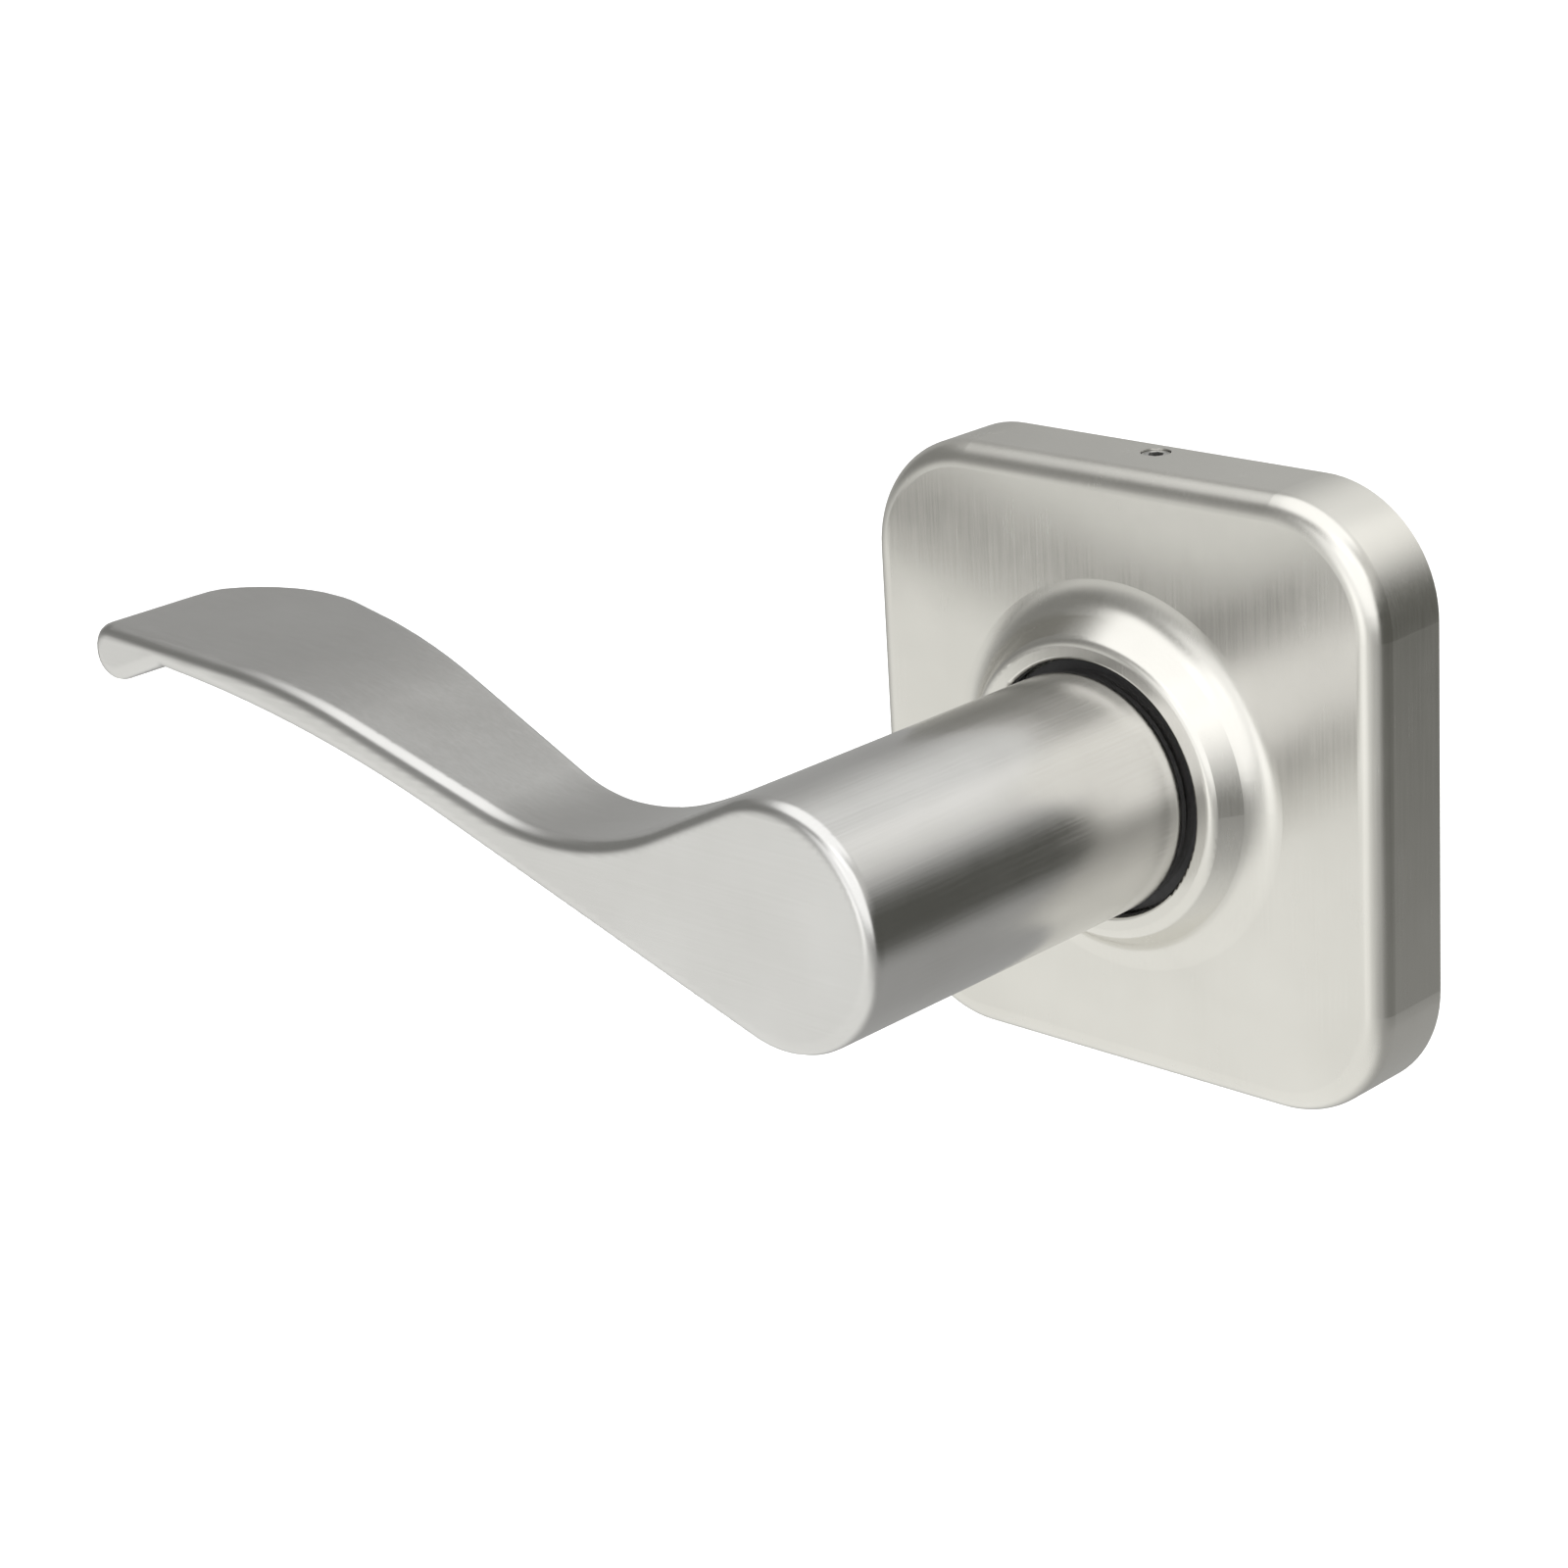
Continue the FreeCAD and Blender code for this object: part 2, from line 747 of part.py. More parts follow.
def make_lever_handle():
    body = new_body("lever_handle")
    neck = Vector(0, 0, 0)
    tip = point("tip_x", "tip_y")
    valley, crest = point("valley_x", "valley_y"), point("crest_x", "crest_y")
    lip, belly = point("lip_x", "lip_y"), point("belly_x", "belly_y")
    neck_top = tangent_point(neck, size("neck_radius"), valley, -1)
    neck_bottom = tangent_point(neck, size("neck_radius"), belly, 1)
    tip_top = tangent_point(tip, size("tip_radius"), crest, 1)
    tip_bottom = tangent_point(tip, size("tip_radius"), lip, -1)
    top_corners = [(valley, size("valley_round")), (crest, size("crest_round"))]
    bottom_corners = [(lip, size("lip_round")), (belly, size("belly_round"))]
    outline = rounded_chain(neck_top, top_corners, tip_top)
    outline.append(arc_about(tip, tip_top, tip_bottom, Vector(-1, 0, 0)))
    outline += rounded_chain(tip_bottom, bottom_corners, neck_bottom)
    outline.append(arc_about(neck, neck_bottom, neck_top, Vector(1, 0, 0)))
    sketch = new_sketch(body, "XY_Plane", "web_pad_depth")
    draw_pieces(sketch, outline)
    pad(body, sketch, "lever_front - web_pad_depth")

    behind = new_sketch(body, "XZ_Plane", "0 - cutter_over")
    start = point("web_start_x", "web_start_depth")
    web = point("web_x", "back_depth")
    back = point("back_x", "back_depth")
    end = point("end_x", "end_depth")
    past_end = point("end_x", "lever_front + cutter_over")
    corners = [(web, size("web_round")), (back, size("back_round")), (end, size("end_round"))]
    space = rounded_chain(start, corners, past_end)
    far = point("end_x - cutter_over", "lever_front + cutter_over")
    far_back = point("end_x - cutter_over", "web_start_depth")
    for first, last in ((past_end, far), (far, far_back), (far_back, start)):
        space.append(Part.LineSegment(first, last))
    draw_pieces(behind, space)
    pocket(body, behind, "cutter_over * 2")
    round_edges(body, "blade_back_edge", is_blade_back_edge)

    shoulder = point("neck_radius", "neck_shoulder")
    shoulder_centre = point("neck_radius - neck_shoulder_round", "neck_shoulder")
    rise = "sqrt( neck_shoulder_round ^ 2 - ( neck_shoulder - neck_low ) ^ 2 )"
    foot = point("neck_radius - neck_shoulder_round + " + rise, "neck_low")
    halfway = foot + shoulder - shoulder_centre * 2
    neck_line = [
        arc_about(shoulder_centre, foot, shoulder, halfway),
        Part.LineSegment(shoulder, point("neck_radius", "lever_front")),
        Part.LineSegment(point("neck_radius", "lever_front"), point("0", "lever_front")),
        Part.LineSegment(point("0", "lever_front"), point("0", "neck_low")),
        Part.LineSegment(point("0", "neck_low"), foot),
    ]
    neck_sketch = new_sketch(body, "XZ_Plane")
    draw_pieces(neck_sketch, neck_line)
    turn = body.newObject("PartDesign::Revolution", body.Name + "_neck")
    turn.Profile = neck_sketch
    turn.ReferenceAxis = (neck_sketch, ["V_Axis"])
    turn.Angle = 360
    volume_after(body, turn, True)

    front = size("lever_front")
    round_edges(body, "lever_rim", lambda edge: lies_at(edge, front))
    hole(body, "bush_bore", "lever_bore_depth - neck_low", ("0", "0", "neck_low"))
    hole(
        body,
        "lever_screw_radius",
        "neck_radius - bush_bore / 2",
        ("0", "0 - neck_radius - hole_over", "lever_screw_depth"),
        ALONG_Y,
    )


def make_lever_set_screw():
    body = new_body("lever_set_screw")
    sizes = {"Radius": "lever_screw_radius", "Height": "lever_screw_low - bush_bore"}
    start = ("0", "0 - lever_screw_low", "lever_screw_depth")
    primitive(body, "AdditiveCylinder", sizes, start, ALONG_Y)
    tip_sizes = {"Radius": "lever_screw_tip", "Height": "lever_screw_low - lever_screw_tip_low"}
    primitive(body, "AdditiveCylinder", tip_sizes, start, ALONG_Y)
    hex_socket(body, "lever_screw_socket", "lever_screw_socket_depth", start, ALONG_Y)


# ---------------------------------------------------------------- assembly


make_rose_cover()
make_rose_set_screw()
make_mounting_plate()
make_spring_housing()
for number, (x, y) in enumerate(foot_screw_places(), start=1):
    make_foot_screw(number, x, y)
make_front_bush()
make_ring("rear_bush", "bush_bore", "rear_bush_radius", "0", "plate_thick")
make_fixing_post("fixing_post_left", -1)
make_fixing_post("fixing_post_right", 1)
make_return_spring()
make_lever_handle()
make_lever_set_screw()
make_drive_hub()
make_drive_cam()
make_ring("wave_washer", "washer_bore", "washer_radius", "washer_low", "washer_low + washer_thick")
make_ring(
    "rear_washer",
    "washer_bore",
    "rear_washer_radius",
    "rear_washer_low",
    "rear_washer_low + rear_washer_thick",
)
make_retaining_ring()
make_spindle()
make_spindle_pin()

doc.recompute()
for item in doc.Objects:
    if "Invalid" in item.State or "Error" in item.State:
        raise RuntimeError(f"{item.Name} failed: {item.State}")
os.makedirs("parts", exist_ok=True)
for item in subparts:
    if item.Shape.isNull() or not item.Shape.isValid():
        raise RuntimeError(f"{item.Label} has no valid shape")
    print(f"{item.Label:20} {item.Shape.Volume:10.1f} mm3, {len(item.Shape.Solids)} solid")
    item.Shape.exportStep(f"parts/{item.Label}.step")
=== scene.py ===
"""Looks of the door lever: a satin nickel lever on a square rose, with its hidden works behind.

Shapes here are worked out in millimetres as (x, z, depth), where depth is the distance out of the
door, and turned into the CAD frame's metres when a mesh is made: y = -depth.
"""

from math import acos, asin, atan2, cos, hypot, pi, radians, sin, tan

import bpy
import numpy as np
from mathutils import Matrix, Vector


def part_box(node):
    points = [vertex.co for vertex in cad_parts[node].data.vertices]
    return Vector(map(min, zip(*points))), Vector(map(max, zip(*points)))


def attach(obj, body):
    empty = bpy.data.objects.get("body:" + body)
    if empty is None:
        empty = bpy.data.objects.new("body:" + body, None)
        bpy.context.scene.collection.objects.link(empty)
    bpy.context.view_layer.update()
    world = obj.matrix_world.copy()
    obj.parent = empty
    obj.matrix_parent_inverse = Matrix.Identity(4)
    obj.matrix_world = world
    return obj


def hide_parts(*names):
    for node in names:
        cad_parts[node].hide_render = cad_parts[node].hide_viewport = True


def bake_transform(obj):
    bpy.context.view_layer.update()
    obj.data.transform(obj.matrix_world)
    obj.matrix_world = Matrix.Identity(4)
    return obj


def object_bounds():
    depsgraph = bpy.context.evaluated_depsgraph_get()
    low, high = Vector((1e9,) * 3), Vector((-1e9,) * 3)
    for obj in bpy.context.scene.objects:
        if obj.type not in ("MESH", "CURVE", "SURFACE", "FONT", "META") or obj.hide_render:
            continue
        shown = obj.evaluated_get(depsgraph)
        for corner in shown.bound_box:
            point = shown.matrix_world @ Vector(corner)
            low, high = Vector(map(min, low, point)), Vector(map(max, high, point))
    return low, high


MM = 0.001
MICRON = 0.000001
FIXED, MOVING = "rose", "lever"

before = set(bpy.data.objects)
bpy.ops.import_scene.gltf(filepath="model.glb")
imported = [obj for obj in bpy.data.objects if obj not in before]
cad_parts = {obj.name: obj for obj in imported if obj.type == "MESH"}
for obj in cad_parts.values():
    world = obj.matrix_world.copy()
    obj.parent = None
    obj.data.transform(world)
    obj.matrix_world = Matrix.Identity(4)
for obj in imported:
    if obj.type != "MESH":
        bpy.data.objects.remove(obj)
cad_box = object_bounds()


# ---------------------------------------------------------------- camera, light and floor

CAMERA_PLACE = (0.24818, -0.31418, 0.13881)
AZIMUTH, ELEVATION, ROLL = radians(44.32), radians(19.37), radians(-3.53)
LENS_MM = 91.5
FLOOR_BELOW = 0.085


def make_camera():
    """The photograph's view: from the right and above, with the camera rolled a little."""
    back = Vector((sin(AZIMUTH) * cos(ELEVATION), -cos(AZIMUTH) * cos(ELEVATION), sin(ELEVATION)))
    level = Vector((cos(AZIMUTH), sin(AZIMUTH), 0))
    upright = back.cross(level)
    right = level * cos(ROLL) + upright * sin(ROLL)
    up = upright * cos(ROLL) - level * sin(ROLL)
    data = bpy.data.cameras.new("camera")
    data.lens = LENS_MM
    data.sensor_width = 36
    data.clip_start = 0.01
    camera = bpy.data.objects.new("camera", data)
    turn = Matrix((right, up, back)).transposed()
    camera.matrix_world = Matrix.Translation(CAMERA_PLACE) @ turn.to_4x4()
    bpy.context.scene.collection.objects.link(camera)
    bpy.context.scene.camera = camera


# Softboxes round the studio, each with its azimuth (0 faces the door, 90 is +X) and its height, half
# its width, half its height and how softly it ends, all in degrees, then its strength and colour. A
# softbox with a strength below 0 is a dark flag.
STUDIO_GREY = (0.40, 0.40, 0.39)
SOFTBOXES = (
    (0, 90, 35, 35, 10, 0.95, (1.0, 1.0, 1.0)),
    (135, 25, 30, 30, 10, 0.95, (1.0, 1.0, 1.0)),
    (180, 10, 15, 25, 10, 0.75, (1.0, 1.0, 1.0)),
    (0, 20, 25, 30, 20, 0.60, (1.0, 1.0, 0.98)),
    (60, 40, 40, 15, 10, 0.30, (1.0, 0.98, 0.94)),
    (-110, 20, 30, 20, 10, -0.15, (1.0, 1.0, 1.0)),
    (65, -5, 40, 20, 10, -0.30, (1.0, 1.0, 1.0)),
    (-150, -55, 55, 50, 25, 0.60, (1.0, 1.0, 0.97)),
)


def make_world():
    """An even grey studio with softboxes round it; the camera itself sees plain white."""
    world = bpy.data.worlds.new("studio")
    bpy.context.scene.world = world
    world.use_nodes = True
    tree = world.node_tree
    tree.nodes.clear()
    link = tree.links.new
    place = tree.nodes.new("ShaderNodeTexCoord").outputs["Generated"]

    def along(direction):
        dot = tree.nodes.new("ShaderNodeVectorMath")
        dot.operation = "DOT_PRODUCT"
        link(place, dot.inputs[0])
        dot.inputs[1].default_value = direction
        return dot.outputs["Value"]

    def math(operation, *values):
        node = tree.nodes.new("ShaderNodeMath")
        node.operation = operation
        for socket, value in zip(node.inputs, values):
            link(value, socket)
        return node.outputs["Value"]

    def within(across, ahead, half, soft):
        """1 inside the softbox's half angle, 0 past it."""
        fade = tree.nodes.new("ShaderNodeMapRange")
        fade.interpolation_type = "SMOOTHSTEP"
        fade.inputs["From Min"].default_value = radians(half - soft)
        fade.inputs["From Max"].default_value = radians(half + soft)
        fade.inputs["To Min"].default_value = 1
        fade.inputs["To Max"].default_value = 0
        link(math("ARCTAN2", math("ABSOLUTE", across), ahead), fade.inputs["Value"])
        return fade.outputs["Result"]

    total = None
    for azimuth, height, half_width, half_height, soft, strength, colour in SOFTBOXES:
        turn, tilt = radians(azimuth), radians(height)
        ahead = along((sin(turn) * cos(tilt), cos(turn) * cos(tilt), sin(tilt)))
        sideways = along((cos(turn), -sin(turn), 0))
        upward = along((-sin(turn) * sin(tilt), -cos(turn) * sin(tilt), cos(tilt)))
        wide = within(sideways, ahead, half_width, soft)
        high = within(upward, ahead, half_height, soft)
        tint = tree.nodes.new("ShaderNodeVectorMath")
        tint.operation = "SCALE"
        tint.inputs[0].default_value = [strength * part for part in colour]
        link(math("MULTIPLY", wide, high), tint.inputs["Scale"])
        add = tree.nodes.new("ShaderNodeVectorMath")
        add.operation = "ADD"
        if total is None:
            add.inputs[0].default_value = STUDIO_GREY
        else:
            link(total, add.inputs[0])
        link(tint.outputs["Vector"], add.inputs[1])
        total = add.outputs["Vector"]
    studio = tree.nodes.new("ShaderNodeBackground")
    link(total, studio.inputs["Color"])
    plain = tree.nodes.new("ShaderNodeBackground")
    plain.inputs["Color"].default_value = (1, 1, 1, 1)
    path = tree.nodes.new("ShaderNodeLightPath")
    mix = tree.nodes.new("ShaderNodeMixShader")
    link(path.outputs["Is Camera Ray"], mix.inputs["Fac"])
    link(studio.outputs["Background"], mix.inputs[1])
    link(plain.outputs["Background"], mix.inputs[2])
    output = tree.nodes.new("ShaderNodeOutputWorld")
    link(mix.outputs["Shader"], output.inputs["Surface"])


def make_floor():
    """A plain pale floor, low enough for the lever to turn down above it."""
    low = cad_box[0][2] - FLOOR_BELOW
    bpy.ops.mesh.primitive_plane_add(size=20, location=(0, 0, low))
    floor = bpy.context.object
    floor.name = "floor"
    floor.visible_glossy = False
    material = bpy.data.materials.new("floor_paint")
    material.use_nodes = True
    shader = material.node_tree.nodes["Principled BSDF"]
    shader.inputs["Base Color"].default_value = (0.92, 0.92, 0.92, 1)
    shader.inputs["Roughness"].default_value = 0.9
    shader.inputs["Specular IOR Level"].default_value = 0
    floor.data.materials.append(material)
    lamp = bpy.data.lights.new("ceiling_softbox", "AREA")
    lamp.size = 1.6
    lamp.energy = 22
    ceiling = bpy.data.objects.new("ceiling_softbox", lamp)
    ceiling.location = (0, -0.2, 1.5)
    ceiling.visible_glossy = False
    bpy.context.scene.collection.objects.link(ceiling)


# ---------------------------------------------------------------- materials


class Paint:
    """A material under construction: short ways to add the nodes that the finishes share."""

    def __init__(self, name):
        self.material = bpy.data.materials.new(name)
        self.material.use_nodes = True
        self.tree = self.material.node_tree
        self.shader = self.tree.nodes["Principled BSDF"]
        coordinates = self.tree.nodes.new("ShaderNodeTexCoord")
        self.place = coordinates.outputs["Object"]
        self.normal = coordinates.outputs["Normal"]

    def link(self, source, target):
        self.tree.links.new(source, target)

    def node(self, kind, **inputs):
        node = self.tree.nodes.new("ShaderNode" + kind)
        for name, value in inputs.items():
            node.inputs[name.replace("_", " ")].default_value = value
        return node

    def noise(self, scale, detail=2.0, roughness=0.5):
        """Noise whose grain is scale lumps per metre along x, y and z."""
        stretch = self.node("Mapping", Scale=scale)
        self.link(self.place, stretch.inputs["Vector"])
        noise = self.node("TexNoise", Scale=1.0, Detail=detail, Roughness=roughness)
        self.link(stretch.outputs["Vector"], noise.inputs["Vector"])
        return noise.outputs["Fac"]

    def spread(self, value, low, high, start=0.0, end=1.0, smooth=False):
        """Map a value from low..high to start..end."""
        node = self.node("MapRange")
        node.interpolation_type = "SMOOTHSTEP" if smooth else "LINEAR"
        for name, number in (("From Min", low), ("From Max", high), ("To Min", start), ("To Max", end)):
            node.inputs[name].default_value = number
        self.link(value, node.inputs["Value"])
        return node.outputs["Result"]

    def math(self, operation, first, second):
        node = self.tree.nodes.new("ShaderNodeMath")
        node.operation = operation
        for socket, value in zip(node.inputs, (first, second)):
            if isinstance(value, (int, float)):
                socket.default_value = value
            else:
                self.link(value, socket)
        return node.outputs["Value"]

    def mix(self, factor, first, second):
        """Mix two values."""
        node = self.tree.nodes.new("ShaderNodeMix")
        self.link(factor, node.inputs["Factor"])
        self.link(first, node.inputs["A"])
        self.link(second, node.inputs["B"])
        return node.outputs["Result"]

    def colours(self, factor, first, second):
        """Blend two colours by a value."""
        node = self.tree.nodes.new("ShaderNodeMix")
        node.data_type = "RGBA"
        self.link(factor, node.inputs["Factor"])
        node.inputs[6].default_value = (*first, 1)
        node.inputs[7].default_value = (*second, 1)
        return node.outputs[2]

    def part_of(self, vector, axis):
        node = self.tree.nodes.new("ShaderNodeSeparateXYZ")
        self.link(vector, node.inputs["Vector"])
        return node.outputs[axis]

    def finish(self, colour, roughness, height, depth, metallic=1.0):
        """Join colour, roughness and a bump height whose full range is depth metres."""
        self.link(colour, self.shader.inputs["Base Color"])
        self.link(roughness, self.shader.inputs["Roughness"])
        self.shader.inputs["Metallic"].default_value = metallic
        bump = self.node("Bump", Strength=1.0, Distance=depth)
        self.link(height, bump.inputs["Height"])
        self.link(bump.outputs["Normal"], self.shader.inputs["Normal"])
        return self.material


LEVER_TONES = (0.645, 0.638, 0.625), (0.70, 0.695, 0.685)
# The rose's tones are the lever's satin nickel painted lighter: painted light standing in for the brighter
# light on the rose face.
ROSE_TONES_PAINTED_LIGHTER = (0.725, 0.712, 0.672), (0.778, 0.765, 0.725)
LEVER_ROUGHNESS, ROSE_ROUGHNESS = 0.2, 0.23
LEVER_GRAIN, ROSE_GRAIN = 4 * MICRON, 1.2 * MICRON
NECK_SIDE = -0.012
LONG, FINE = 70, 4200


def brushed_nickel(name, tones, roughness, depth, upright=False, along_y_behind=None):
    """Satin nickel, brushed along x or upright. Right of along_y_behind it is brushed along y."""
    paint = Paint(name)
    if upright:
        streaks = paint.noise((FINE, FINE, LONG), detail=3.0, roughness=0.6)
        scratches = paint.noise((FINE / 3, FINE / 3, LONG * 2), detail=2.0)
    else:
        streaks = paint.noise((LONG, FINE, FINE), detail=3.0, roughness=0.6)
        scratches = paint.noise((LONG * 2, FINE / 3, FINE / 3), detail=2.0)
    if along_y_behind is not None:
        neck_streaks = paint.noise((FINE, LONG, FINE), detail=3.0, roughness=0.6)
        neck_scratches = paint.noise((FINE / 3, LONG * 2, FINE / 3), detail=2.0)
        facing_out = paint.spread(paint.part_of(paint.normal, "Y"), -0.85, -0.6, 1, 0, smooth=True)
        x = paint.part_of(paint.place, "X")
        on_blade = paint.spread(x, along_y_behind - 0.010, along_y_behind, 1, 0, smooth=True)
        across = paint.math("MAXIMUM", facing_out, on_blade)
        streaks = paint.mix(across, neck_streaks, streaks)
        scratches = paint.mix(across, neck_scratches, scratches)
    cloud = paint.noise((60, 60, 60), detail=3.0)
    smudge = paint.noise((140, 190, 140), detail=4.0, roughness=0.6)
    tone = paint.math("ADD", paint.math("MULTIPLY", cloud, 0.7), paint.math("MULTIPLY", streaks, 0.3))
    colour = paint.colours(paint.spread(tone, 0.35, 0.65), *tones)
    rough = paint.math(
        "ADD",
        paint.spread(smudge, 0.3, 0.7, roughness - 0.02, roughness + 0.03),
        paint.spread(streaks, 0.35, 0.7, -0.02, 0.03),
    )
    height = paint.math("ADD", streaks, paint.math("MULTIPLY", scratches, 0.4))
    return paint.finish(colour, rough, height, depth)


def zinc_plate(name):
    """Bright zinc on pressed steel: faint spangle, light rolling lines, dull handling marks."""
    paint = Paint(name)
    spangle = paint.noise((380, 380, 380), detail=2.0)
    rolling = paint.noise((2600, 2600, 120), detail=2.0)
    colour = paint.colours(paint.spread(spangle, 0.35, 0.65), (0.52, 0.54, 0.57), (0.68, 0.68, 0.66))
    rough = paint.spread(rolling, 0.3, 0.7, 0.30, 0.46)
    height = paint.math("ADD", spangle, paint.math("MULTIPLY", rolling, 0.5))
    return paint.finish(colour, rough, height, 6 * MICRON)


def machined_steel(name, light, dark, roughness, lines):
    """Steel with fine tool lines; lines gives the grain per metre along x, y and z."""
    paint = Paint(name)
    marks = paint.noise(lines, detail=2.0)
    stain = paint.noise((220, 220, 220), detail=4.0, roughness=0.65)
    colour = paint.colours(paint.spread(stain, 0.35, 0.7), dark, light)
    rough = paint.math(
        "ADD",
        paint.spread(marks, 0.3, 0.7, roughness - 0.05, roughness + 0.05),
        paint.spread(stain, 0.4, 0.7, 0.04, 0.0),
    )
    return paint.finish(colour, rough, marks, 6 * MICRON)


def black_acetal(name):
    """Moulded acetal: near black, waxy, with a fine moulded grain."""
    paint = Paint(name)
    grain = paint.noise((2400, 2400, 2400), detail=2.0)
    flow = paint.noise((160, 160, 160), detail=2.0)
    colour = paint.colours(paint.spread(flow, 0.3, 0.7), (0.018, 0.018, 0.02), (0.035, 0.035, 0.038))
    rough = paint.spread(grain, 0.3, 0.7, 0.38, 0.5)
    return paint.finish(colour, rough, grain, 8 * MICRON, metallic=0.0)


# ---------------------------------------------------------------- outlines and their distances


class Line:
    """A straight stretch of an outline that has the shape's inside on its left."""

    def __init__(self, start, end):
        self.start = np.array(start, float)
        self.length = hypot(*(np.array(end) - self.start))
        self.ahead = (np.array(end) - self.start) / self.length

    def distance(self, u, v):
        """Distance to the line, below 0 inside; infinite beside its ends."""
        du, dv = u - self.start[0], v - self.start[1]
        along = du * self.ahead[0] + dv * self.ahead[1]
        outward = du * self.ahead[1] - dv * self.ahead[0]
        beside = (along < -1e-7) | (along > self.length + 1e-7)
        return np.where(beside, np.inf, outward)


class Arc:
    """A round stretch of an outline, from first to last about a centre; left is 1 or -1."""

    def __init__(self, centre, first, last, left):
        self.centre = np.array(centre, float)
        self.radius = hypot(*(np.array(first) - self.centre))
        self.left = left
        begin = atan2(first[1] - centre[1], first[0] - centre[0])
        end = atan2(last[1] - centre[1], last[0] - centre[0])
        self.span = ((end - begin) * left) % (2 * pi)
        self.middle = begin + left * self.span / 2

    def distance(self, u, v):
        du, dv = u - self.centre[0], v - self.centre[1]
        turn = np.arctan2(dv, du) - self.middle
        turn = np.abs((turn + pi) % (2 * pi) - pi)
        outward = (np.hypot(du, dv) - self.radius) * self.left
        return np.where(turn > self.span / 2 + 1e-7, np.inf, outward)


def tangent(here, there):
    """The line between two items (u, v, radius, is_circle) that keeps any circle on its left."""
    (u1, v1, r1, circle1), (u2, v2, r2, circle2) = here, there
    angle = atan2(v2 - v1, u2 - u1)
    reach = hypot(u2 - u1, v2 - v1)
    if circle1:
        angle += asin(r1 / reach)
        u1, v1 = u1 + r1 * sin(angle), v1 - r1 * cos(angle)
    if circle2:
        angle -= asin(r2 / reach)
        u2, v2 = u2 + r2 * sin(angle), v2 - r2 * cos(angle)
    return np.array((u1, v1)), np.array((u2, v2))


def make_outline(items):
    """A smooth closed outline through corners to round and circles to go round, anticlockwise."""
    count = len(items)
    lines = [tangent(items[index], items[(index + 1) % count]) for index in range(count)]
    ends = [list(line) for line in lines]
    arcs = []
    for index, (u, v, radius, is_circle) in enumerate(items):
        arriving, leaving = lines[index - 1], lines[index]
        if is_circle:
            arcs.append(Arc((u, v), arriving[1], leaving[0], 1))
            continue
        corner = np.array((u, v))
        back = arriving[0] - corner
        ahead = leaving[1] - corner
        back, ahead = back / hypot(*back), ahead / hypot(*ahead)
        half = acos(np.clip(back @ ahead, -1, 1)) / 2
        leg = radius / tan(half)
        bisector = (back + ahead) / hypot(*(back + ahead))
        left = 1 if back[0] * ahead[1] - back[1] * ahead[0] < 0 else -1
        first, last = corner + back * leg, corner + ahead * leg
        arcs.append(Arc(corner + bisector * radius / sin(half), first, last, left))
        ends[index - 1][1], ends[index][0] = first, last
    return arcs + [Line(*pair) for pair in ends]


def outline_distance(outline, u, v):
    best = np.full(np.broadcast(u, v).shape, np.inf)
    for piece in outline:
        found = piece.distance(u, v)
        best = np.where(np.abs(found) < np.abs(best), found, best)
    return best


def both(first, second, rounding):
    """Distance to what two shapes share, with the edge between them rounded."""
    corner = np.hypot(np.maximum(first + rounding, 0), np.maximum(second + rounding, 0))
    return np.minimum(-rounding, np.maximum(first, second)) + corner


def either(first, second, rounding):
    """Distance to two shapes joined, with a hollow fillet between them."""
    corner = np.hypot(np.maximum(rounding - first, 0), np.maximum(rounding - second, 0))
    return np.maximum(rounding, np.minimum(first, second)) - corner


# ---------------------------------------------------------------- meshes from distances

SETTLING_ROUNDS = 4


def surface_net(distance, low, high, step):
    """Quads over the surface where distance(x, z, depth) is 0, within a box."""
    axes = [np.arange(start, end + step, step) for start, end in zip(low, high)]
    grid = np.meshgrid(*axes, indexing="ij", sparse=True)
    field = distance(*grid).astype(np.float32)
    inside = field < 0
    cells = tuple(size - 1 for size in field.shape)
    total = np.zeros(cells + (3,), np.float32)
    count = np.zeros(cells, np.int8)
    quads = []
    index = np.full(cells, -1, np.int64)
    crossings = []
    for axis in range(3):
        near = [slice(None)] * 3
        far = [slice(None)] * 3
        near[axis], far[axis] = slice(0, -1), slice(1, None)
        first, last = field[tuple(near)], field[tuple(far)]
        change = inside[tuple(near)] != inside[tuple(far)]
        part = np.where(change, first / np.where(change, first - last, 1), 0)
        crossings.append((change, inside[tuple(near)]))
        others = [other for other in range(3) if other != axis]
        for shift_a in (0, 1):
            for shift_b in (0, 1):
                window = [slice(None)] * 3
                for other, shift in zip(others, (shift_a, shift_b)):
                    window[other] = slice(shift, shift + cells[other])
                mask = change[tuple(window)]
                count += mask
                total[..., axis] += part[tuple(window)]
                total[..., others[0]] += mask * shift_a
                total[..., others[1]] += mask * shift_b
    active = count > 0
    index[active] = np.arange(active.sum())
    corners = np.stack(np.nonzero(active), -1) + total[active] / count[active][:, None]
    points = np.array(low) + corners * step
    for axis in range(3):
        change, near_inside = crossings[axis]
        others = [other for other in range(3) if other != axis]
        inner = [slice(None)] * 3
        for other in others:
            inner[other] = slice(1, -1)
        spots = np.stack(np.nonzero(change[tuple(inner)]), -1)
        flips = near_inside[tuple(inner)][change[tuple(inner)]]
        for other in others:
            spots[:, other] += 1
        ring = []
        for back_a, back_b in ((1, 1), (0, 1), (0, 0), (1, 0)):
            cell = spots.copy()
            cell[:, others[0]] -= back_a
            cell[:, others[1]] -= back_b
            ring.append(index[tuple(cell.T)])
        ring = np.stack(ring, -1)
        turned = flips if axis != 1 else ~flips
        quads.append(np.where(turned[:, None], ring, ring[:, ::-1]))
    return points, np.concatenate(quads)


